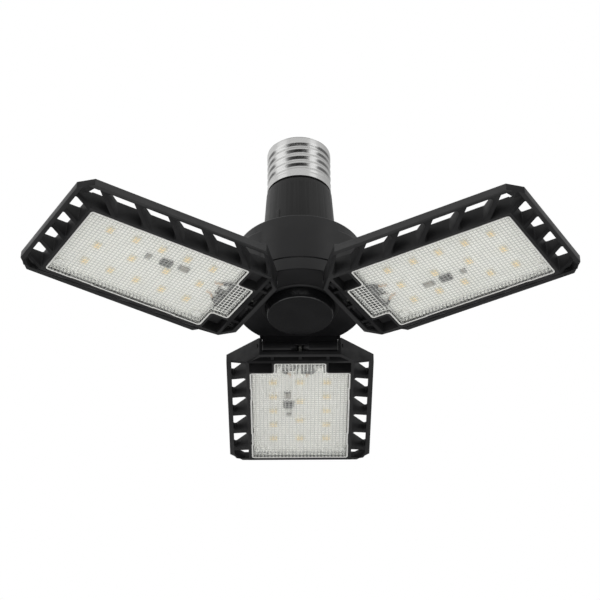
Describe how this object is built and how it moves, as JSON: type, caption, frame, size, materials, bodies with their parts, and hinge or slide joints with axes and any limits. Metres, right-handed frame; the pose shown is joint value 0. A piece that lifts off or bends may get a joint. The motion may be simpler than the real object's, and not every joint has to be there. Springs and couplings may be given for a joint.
{
  "type": "deformable garage light",
  "caption": "Screw-base ceiling light: a round hub on a tapered neck carries tilting flat LED panels with finned open rims and clear prismatic lenses.",
  "frame": {"origin": "centre of the lower edge of the screw shell, where it meets the neck", "axes": "+Z along the base axis, up into the lamp socket; the back panel points along +Y"},
  "size_m": [0.2175, 0.1905, 0.0931],
  "materials": {
    "nickel_shell": "satin nickel plate",
    "insulator": "gloss black",
    "contact": "dull solder",
    "neck_black": "satin black",
    "hub_black": "satin black",
    "cap_black": "satin black",
    "frame_black": "fine textured black",
    "clear_lens": "clear prismatic",
    "white_board": "white solder mask",
    "led_yellow": "pale yellow phosphor",
    "dark_parts": "dark resin",
    "steel": "zinc plated",
    "green_board": "green solder mask",
    "lead_sleeve": "pale silicone sleeve"
  },
  "bodies": {
    "hub": {"screw_shell": "nickel_shell", "base_insulator": "insulator", "centre_contact": "contact", "neck_collar": "neck_black", "neck_screws": "steel", "hub_housing": "hub_black", "hub_base": "hub_black", "hub_screws": "steel", "hub_cap": "cap_black", "driver_board": "green_board", "driver_parts": "dark_parts", "base_leads": "lead_sleeve", "hub_leads": "lead_sleeve"},
    "back_panel": {"back_frame": "frame_black", "back_lens": "clear_lens", "back_led_board": "white_board", "back_leds": "led_yellow", "back_board_parts": "dark_parts", "back_board_screws": "steel", "back_lead": "lead_sleeve", "back_hinge_pins": "steel", "back_hinge_washers": "steel"},
    "left_panel": {"left_frame": "frame_black", "left_lens": "clear_lens", "left_led_board": "white_board", "left_leds": "led_yellow", "left_board_parts": "dark_parts", "left_board_screws": "steel", "left_lead": "lead_sleeve", "left_hinge_pins": "steel", "left_hinge_washers": "steel"},
    "right_panel": {"right_frame": "frame_black", "right_lens": "clear_lens", "right_led_board": "white_board", "right_leds": "led_yellow", "right_board_parts": "dark_parts", "right_board_screws": "steel", "right_lead": "lead_sleeve", "right_hinge_pins": "steel", "right_hinge_washers": "steel"}
  },
  "joints": [
    {"name": "back_hinge", "type": "hinge", "parent": "hub", "child": "back_panel", "pos_m": [0, 0.0218, -0.06175], "axis": [-1, 0, 0], "range_deg": [-3, 92]},
    {"name": "left_hinge", "type": "hinge", "parent": "hub", "child": "left_panel", "pos_m": [-0.01888, -0.0109, -0.06175], "axis": [0.5, -0.866, 0], "range_deg": [-2.2, 92.8]},
    {"name": "right_hinge", "type": "hinge", "parent": "hub", "child": "right_panel", "pos_m": [0.01888, -0.0109, -0.06175], "axis": [0.5, 0.866, 0], "range_deg": [-4.4, 90.6]}
  ]
}
